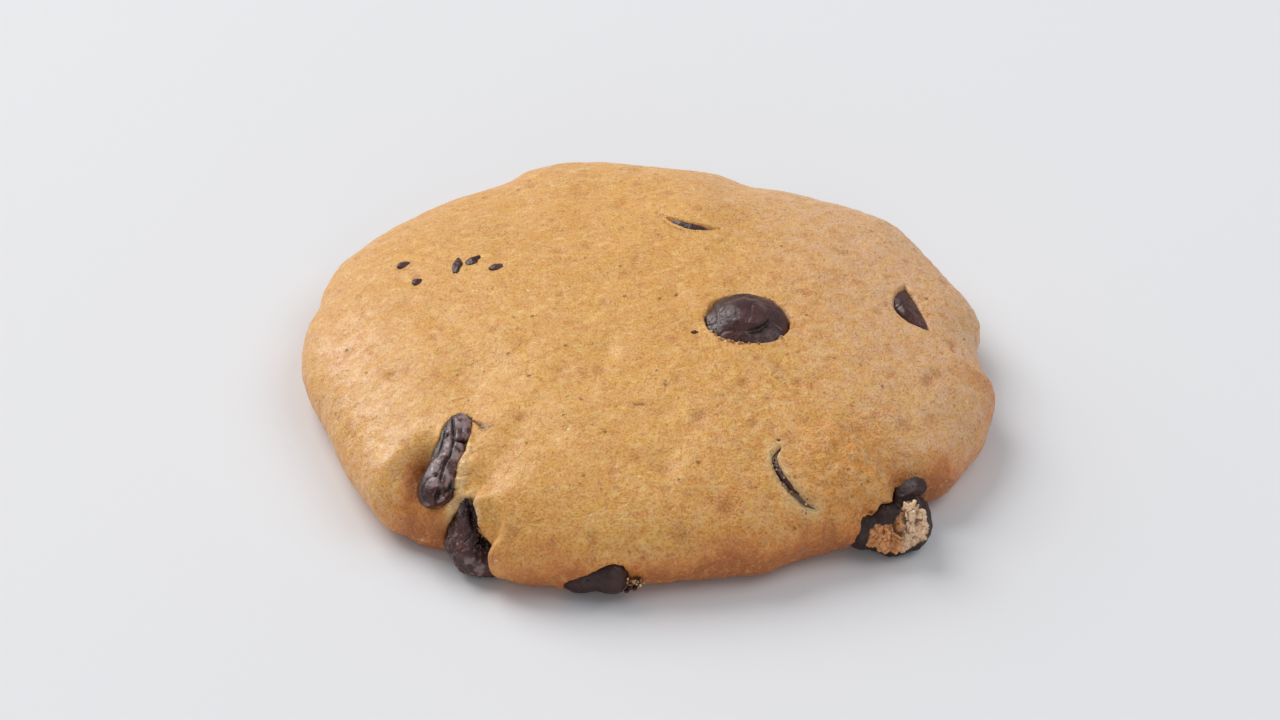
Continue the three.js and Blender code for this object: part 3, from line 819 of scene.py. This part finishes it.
class Shader:
    """Builds a material's nodes. Waves and depths are in millimetres."""

    def __init__(self, name):
        self.material = bpy.data.materials.new(name)
        self.material.use_nodes = True
        self.tree = self.material.node_tree
        self.surface = self.tree.nodes["Principled BSDF"]
        place = self.tree.nodes.new("ShaderNodeTexCoord")
        scale = self.tree.nodes.new("ShaderNodeVectorMath")
        scale.operation = "SCALE"
        scale.inputs["Scale"].default_value = 1 / MM
        self.tree.links.new(place.outputs["Object"], scale.inputs[0])
        self.millimetres = scale.outputs[0]

    def put(self, value, socket):
        if isinstance(value, bpy.types.NodeSocket):
            self.tree.links.new(value, socket)
        else:
            socket.default_value = value

    def noise(self, wave, detail=3, rough=0.5, stretch=(1, 1, 1), turn=0):
        mapping = self.tree.nodes.new("ShaderNodeMapping")
        mapping.vector_type = "TEXTURE"
        mapping.inputs["Rotation"].default_value = (0, 0, math.radians(turn))
        mapping.inputs["Scale"].default_value = [wave * s for s in stretch]
        self.put(self.millimetres, mapping.inputs["Vector"])
        node = self.tree.nodes.new("ShaderNodeTexNoise")
        node.inputs["Scale"].default_value = 1
        node.inputs["Detail"].default_value = detail
        node.inputs["Roughness"].default_value = rough
        self.put(mapping.outputs[0], node.inputs["Vector"])
        return node.outputs["Fac"]

    def cells(self, wave):
        """Distance from, and a random value of, the nearest of scattered points."""
        node = self.tree.nodes.new("ShaderNodeTexVoronoi")
        node.inputs["Scale"].default_value = 1 / wave
        self.put(self.millimetres, node.inputs["Vector"])
        split = self.tree.nodes.new("ShaderNodeSeparateColor")
        self.put(node.outputs["Color"], split.inputs[0])
        return node.outputs["Distance"], split.outputs[0]

    def ramp(self, value, low, high, start=0.0, end=1.0):
        node = self.tree.nodes.new("ShaderNodeMapRange")
        node.interpolation_type = "SMOOTHSTEP"
        self.put(value, node.inputs["Value"])
        for key, number in (("From Min", low), ("From Max", high), ("To Min", start), ("To Max", end)):
            node.inputs[key].default_value = number
        return node.outputs["Result"]

    def math(self, operation, a, b=0.0):
        node = self.tree.nodes.new("ShaderNodeMath")
        node.operation = operation
        self.put(a, node.inputs[0])
        self.put(b, node.inputs[1])
        return node.outputs[0]

    def times(self, a, b):
        return self.math("MULTIPLY", a, b)

    def mix(self, factor, a, b):
        node = self.tree.nodes.new("ShaderNodeMix")
        node.data_type = "RGBA"
        self.put(factor, node.inputs["Factor"])
        self.put(a, node.inputs[6])
        self.put(b, node.inputs[7])
        return node.outputs[2]

    def attribute(self, name):
        node = self.tree.nodes.new("ShaderNodeAttribute")
        node.attribute_name = name
        return node.outputs["Fac"]

    def bump(self, height, depth, below=None):
        node = self.tree.nodes.new("ShaderNodeBump")
        node.inputs["Distance"].default_value = depth * MM
        self.put(height, node.inputs["Height"])
        if below is not None:
            self.put(below, node.inputs["Normal"])
        return node.outputs[0]

    def spots(self, wave, radius, chance):
        """Round soft spots, in a share of the cells."""
        distance, draw = self.cells(wave)
        chosen = self.ramp(draw, 1 - chance, 1.05 - chance)
        return self.times(self.ramp(distance, radius, radius * 0.35), chosen)

    def finish(self, colour, roughness, normal, specular):
        self.put(colour, self.surface.inputs["Base Color"])
        self.put(roughness, self.surface.inputs["Roughness"])
        if normal is not None:
            self.put(normal, self.surface.inputs["Normal"])
        self.put(specular, self.surface.inputs["Specular IOR Level"])
        return self.material


def ground_colour(s, strength, mottle, tint):
    """The crust's golden ground with its mottling, and smaller tan, orange and pale patches."""
    patches = s.ramp(s.noise(9, 3), 0.38, 0.62)
    colour = s.mix(patches, linear(220, 158, 62), linear(228, 168, 70))
    colour = s.mix(s.times(mottle, 0.5), colour, linear(206, 134, 66))
    colour = s.mix(s.times(tint, s.times(strength, 0.6)), colour, linear(226, 174, 114))
    orange = s.ramp(s.noise(0.85, 3, 0.6), 0.46, 0.66)
    colour = s.mix(s.times(orange, s.times(strength, 0.6)), colour, linear(208, 124, 44))
    pale = s.ramp(s.noise(1.1, 3, 0.6, (1.4, 0.8, 1), 20), 0.52, 0.7)
    return s.mix(s.times(pale, 0.55), colour, linear(246, 202, 126))


def side_colours(s, colour, tint, golden, shine_and_painted_sheen):
    """The pink right side with a partly painted sheen, the coarse golden slope, and a painted sheen on the
    shoulder at the left.
    """
    # The right side's pinkish tone, partly a painted sheen
    pinkish = s.times(s.attribute("pink_tone_and_sheen"), s.ramp(tint, 0, 1, 0.4, 0.8))
    colour = s.mix(pinkish, colour, linear(222, 176, 144))
    gilt = s.times(golden, s.ramp(s.noise(1.3, 4, 0.65), 0.4, 0.6, 0.1, 0.85))
    colour = s.mix(gilt, colour, linear(224, 142, 44))
    colour = s.mix(s.times(golden, s.times(s.spots(1.2, 0.25, 0.3), 0.8)), colour, linear(120, 66, 32))
    # Painted sheen on the shoulder
    return s.mix(s.times(shine_and_painted_sheen, 0.35), colour, linear(248, 204, 172))


def toast_and_shade_colour(s, colour, toast_and_shade):
    """The browned parts, with painted shade on the front side and in the valley, and lighter and darker
    crust on them.
    """
    colour = s.mix(s.ramp(toast_and_shade, 0, 0.8, 0, 0.78), colour, linear(206, 110, 28))
    colour = s.mix(s.ramp(toast_and_shade, 0.55, 1.15, 0, 0.85), colour, linear(154, 68, 10))
    browned = s.ramp(toast_and_shade, 0.3, 0.9)
    light_crust = s.ramp(s.noise(0.8, 4, 0.7, (1, 1, 1), 9), 0.5, 0.66, 0, 0.6)
    colour = s.mix(s.times(browned, light_crust), colour, linear(224, 150, 78))
    dark_crust = s.ramp(s.noise(0.6, 3, 0.6), 0.54, 0.7, 0, 0.5)
    return s.mix(s.times(browned, dark_crust), colour, linear(112, 54, 18))


def torn_colour(s, colour, mottle):
    """The torn dough at the left, and a painted highlight on the edge of the slit."""
    fresh = s.times(s.attribute("torn"), s.ramp(s.noise(0.8, 3), 0.36, 0.56, 0.45, 0.9))
    colour = s.mix(fresh, colour, linear(254, 212, 156))
    # Painted highlight along the slit's edge
    pale_edge = s.times(s.attribute("slit_edge_highlight"), s.ramp(mottle, 0, 1, 0.5, 0.25))
    return s.mix(pale_edge, colour, linear(214, 200, 160))


def speckled_colour(s, colour, strength, pores):
    """Brown spots and dashes, pores darkened with painted shade, and light specks."""
    colour = s.mix(s.times(s.spots(3.6, 0.3, 0.4), 0.55), colour, linear(190, 106, 50))
    colour = s.mix(s.times(s.spots(1.5, 0.28, 0.2), s.times(strength, 0.6)), colour, linear(164, 90, 48))
    for stretch, turn in (((3.2, 0.8, 1), 14), ((3.0, 0.75, 1), -32), ((2.6, 0.8, 1), 78)):
        dashes = s.ramp(s.noise(0.42, 1, 0.4, stretch, turn), 0.7, 0.76)
        colour = s.mix(s.times(dashes, 0.6), colour, linear(148, 90, 48))
    # Painted shade in the pores
    colour = s.mix(s.times(pores, 0.7), colour, linear(120, 66, 38))
    return s.mix(s.times(s.spots(2.9, 0.09, 0.35), 0.6), colour, linear(250, 232, 204))


def grainy_colour(s, colour, toast_and_shade, grain, wrinkles):
    """Painted shade in pits, cracks and soft wrinkles, and fine grain."""
    # Painted shade in pits
    colour = s.mix(s.times(s.attribute("pit_shade"), 0.5), colour, linear(178, 104, 50))
    light_grain = s.times(s.ramp(grain, 0.36, 0.68, 0, 0.3), s.ramp(toast_and_shade, 0.3, 1, 1, 0.45))
    colour = s.mix(light_grain, colour, linear(250, 212, 138))
    colour = s.mix(s.ramp(grain, 0.5, 0.26, 0, 0.4), colour, linear(164, 100, 48))
    # Painted shade in cracks
    colour = s.mix(s.times(s.attribute("crack"), 0.9), colour, linear(62, 36, 24))
    # Painted shade in the wrinkles' folds
    return s.mix(s.times(wrinkles, 0.12), colour, linear(150, 96, 58))


def dough_material():
    s = Shader("baked_dough")
    toast_and_shade, golden = s.attribute("toast_and_shade"), s.attribute("golden")
    strength = s.math("ADD", s.ramp(s.attribute("coarse"), 0, 1, 0.75, 1.35), s.times(golden, 0.5))
    mottle = s.ramp(s.noise(2.2, 5, 0.65), 0.36, 0.64)
    tint = s.ramp(s.noise(1.9, 5, 0.7, (1, 1, 1), 33), 0.42, 0.62)
    shine_and_painted_sheen = s.times(s.attribute("shoulder"), s.ramp(s.noise(1.4, 4, 0.65, (1, 1, 1), 50), 0.44, 0.6))
    pores = s.spots(2.3, 0.13, 0.32)
    grain = s.noise(0.3, 2, 0.6)
    fold = s.math("ABSOLUTE", s.math("SUBTRACT", s.noise(3.4, 3, 0.55), 0.5))
    wrinkles = s.times(s.ramp(fold, 0.04, 0.0), s.ramp(s.noise(5, 2), 0.56, 0.66))

    colour = ground_colour(s, strength, mottle, tint)
    colour = side_colours(s, colour, tint, golden, shine_and_painted_sheen)
    colour = toast_and_shade_colour(s, colour, toast_and_shade)
    colour = torn_colour(s, colour, mottle)
    colour = speckled_colour(s, colour, strength, pores)
    colour = grainy_colour(s, colour, toast_and_shade, grain, wrinkles)

    # Relief that is finer than the mesh
    bumpy = s.bump(s.times(s.noise(1.2, 4, 0.6), strength), 0.17)
    bumpy = s.bump(s.times(grain, strength), 0.1, bumpy)
    bumpy = s.bump(s.math("SUBTRACT", 1.0, wrinkles), 0.07, bumpy)
    bumpy = s.bump(s.math("SUBTRACT", 1.0, pores), 0.22, bumpy)
    s.surface.inputs["Coat Weight"].default_value = 0.13
    s.surface.inputs["Coat Roughness"].default_value = 0.24
    s.surface.inputs["Sheen Weight"].default_value = 0.06
    rough = s.math("SUBTRACT", s.ramp(mottle, 0, 1, 0.45, 0.56), s.times(shine_and_painted_sheen, 0.16))
    return s.finish(colour, rough, bumpy, 0.42)


def chocolate_material():
    s = Shader("dark_chocolate")
    crumb, dust_and_sheen, painted_shade, dark, warm_side = (
        s.attribute(n) for n in ("crumb", "dust_and_sheen", "painted_shade", "dark", "warm")
    )
    colour = s.mix(s.ramp(s.noise(2.2, 3), 0.35, 0.65), linear(58, 26, 24), linear(82, 42, 38))
    grains = s.ramp(s.noise(0.3, 2, 0.5), 0.58, 0.7)
    # Dust (on the long chip a painted satin sheen), darker chips (partly painted shade), painted shade in
    # cracks, holes and gaps, and then the baked crumb
    # Pale dust, on the long chip a painted satin sheen
    colour = s.mix(s.times(dust_and_sheen, 0.85), colour, linear(160, 136, 138))
    colour = s.mix(s.times(grains, s.times(dust_and_sheen, 0.6)), colour, linear(196, 166, 134))
    colour = s.mix(s.times(s.spots(0.8, 0.22, 0.22), s.times(dust_and_sheen, 0.9)), colour, linear(224, 210, 190))
    # Chips at the front rim and in the slit are darkened partly as painted shade
    colour = s.mix(s.times(dark, 0.8), colour, linear(34, 11, 9))
    # Painted shade in cracks, holes, the crumb's gaps and the long chip's left flank
    colour = s.mix(s.times(painted_shade, 0.9), colour, linear(24, 12, 12))
    baked = s.mix(warm_side, linear(252, 216, 180), linear(234, 166, 108))
    baked = s.mix(s.ramp(s.noise(0.5, 3), 0.35, 0.7, 0, 0.4), baked, linear(190, 134, 96))
    # Painted shade in the crumb's gaps
    baked = s.mix(s.ramp(painted_shade, 0.5, 1, 0, 0.75), baked, linear(70, 42, 32))
    colour = s.mix(crumb, colour, baked)
    bumpy = s.bump(s.noise(0.7, 4, 0.6), 0.07)
    bumpy = s.bump(grains, 0.05, bumpy)
    rough = s.math("ADD", s.ramp(s.noise(1.2, 3), 0.3, 0.7, 0.26, 0.42), s.times(crumb, 0.35))
    rough = s.math("ADD", rough, s.times(dark, 0.2))
    return s.finish(colour, rough, bumpy, 0.5)


def crumb_material():
    s = Shader("loose_crumbs")
    colour = s.mix(s.ramp(s.noise(0.7, 2), 0.4, 0.6), linear(226, 190, 144), linear(150, 96, 58))
    return s.finish(colour, 0.75, s.bump(s.noise(0.25, 2), 0.05), 0.35)


def dress(pieces, material):
    for piece in pieces:
        piece.data.materials.clear()
        piece.data.materials.append(material)


dress([dough], dough_material())
dress([part["piece"] for part in chips.values()] + [flecks], chocolate_material())
dress([crumbs], crumb_material())


# Floor, light and camera

def build_floor():
    side = 2.5
    corners = [(-side, -side, 0), (side, -side, 0), (side, side, 0), (-side, side, 0)]
    floor = mesh_object("floor", corners, [(0, 1, 2, 3)])
    dress([floor], Shader("pale_floor").finish((0.80, 0.80, 0.82, 1), 0.6, None, 0.2))


def area_light(name, place, size, watts, colour):
    """A round light, aimed at the origin."""
    data = bpy.data.lights.new(name, "AREA")
    data.shape = "DISK"
    data.size = size
    data.energy = watts
    data.color = colour
    light = bpy.data.objects.new(name, data)
    light.location = place
    light.rotation_euler = Vector(place).to_track_quat("Z", "Y").to_euler()
    bpy.context.scene.collection.objects.link(light)
    return light


# A long lens that looks down at the front, 37.5 degrees above the table
CAMERA_PLACE, CAMERA_TILT = (-0.00041, -0.37466, 0.29281), 90 - 37.5
LENS, SENSOR_WIDTH = 103.8, 36


def build_camera():
    data = bpy.data.cameras.new("camera")
    data.lens, data.sensor_width = LENS, SENSOR_WIDTH
    data.clip_start, data.clip_end = 0.01, 10
    camera = bpy.data.objects.new("camera", data)
    camera.location = CAMERA_PLACE
    camera.rotation_euler = (math.radians(CAMERA_TILT), 0, 0)
    bpy.context.scene.collection.objects.link(camera)
    bpy.context.scene.camera = camera


def build_world():
    world = bpy.data.worlds.new("studio")
    world.use_nodes = True
    background = world.node_tree.nodes["Background"]
    background.inputs["Color"].default_value = (0.93, 0.96, 1.0, 1)
    background.inputs["Strength"].default_value = 0.33
    bpy.context.scene.world = world


build_floor()
area_light("window", (-1.0, 1.1, 1.5), 1.5, 28, (1.0, 0.985, 0.96))
area_light("low_window", (-1.5, 1.25, 0.75), 1.0, 8, (1.0, 0.99, 0.98))
area_light("fill", (1.3, 0.0, 1.7), 1.6, 11, (0.95, 0.98, 1.0))
area_light("front_bounce", (0.2, -1.8, 0.6), 1.2, 5, (1.0, 0.98, 0.95))
# This one only adds shine
low_shine = area_light("low_shine", (-1.5, 1.1, 0.65), 1.0, 3.5, (1.0, 0.98, 0.98))
low_shine.visible_diffuse = False
build_world()
build_camera()
bpy.context.scene.view_settings.view_transform = "Standard"
